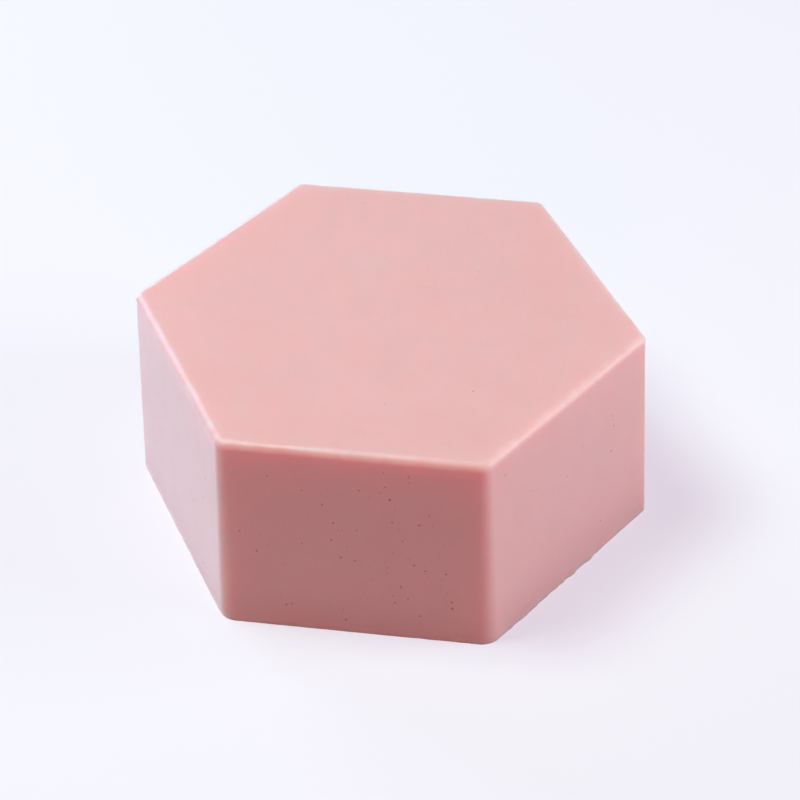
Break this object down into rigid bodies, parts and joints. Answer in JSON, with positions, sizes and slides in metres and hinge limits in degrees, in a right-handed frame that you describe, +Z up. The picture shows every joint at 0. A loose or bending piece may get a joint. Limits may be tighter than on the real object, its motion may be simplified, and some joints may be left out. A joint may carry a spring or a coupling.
{
  "type": "soap mould",
  "caption": "Hexagonal one-cavity silicone soap mould, standing mouth down over the cast bar of soap, with draft so that it pulls straight up off the bar.",
  "frame": {"origin": "centre of the hexagon in the plane of the rim, which is the surface that the mould stands on", "axes": "+Z up along the hexagon's axis, from the rim to the closed end; X through two opposite corners; Y square to two opposite flats, with a flat facing -Y"},
  "size_m": [0.0874, 0.0762, 0.0371],
  "materials": {
    "silicone": "opaque pink cast silicone, satin, with fine air pits",
    "soap": "pale pink soap, waxy satin"
  },
  "bodies": {
    "bar": {"soap_bar": "soap"},
    "mould": {"silicone_mould": "silicone"}
  },
  "joints": [
    {"name": "demould_lift", "type": "slide", "parent": "bar", "child": "mould", "axis": [0, 0, 1], "range_m": [0, 0.045]}
  ]
}
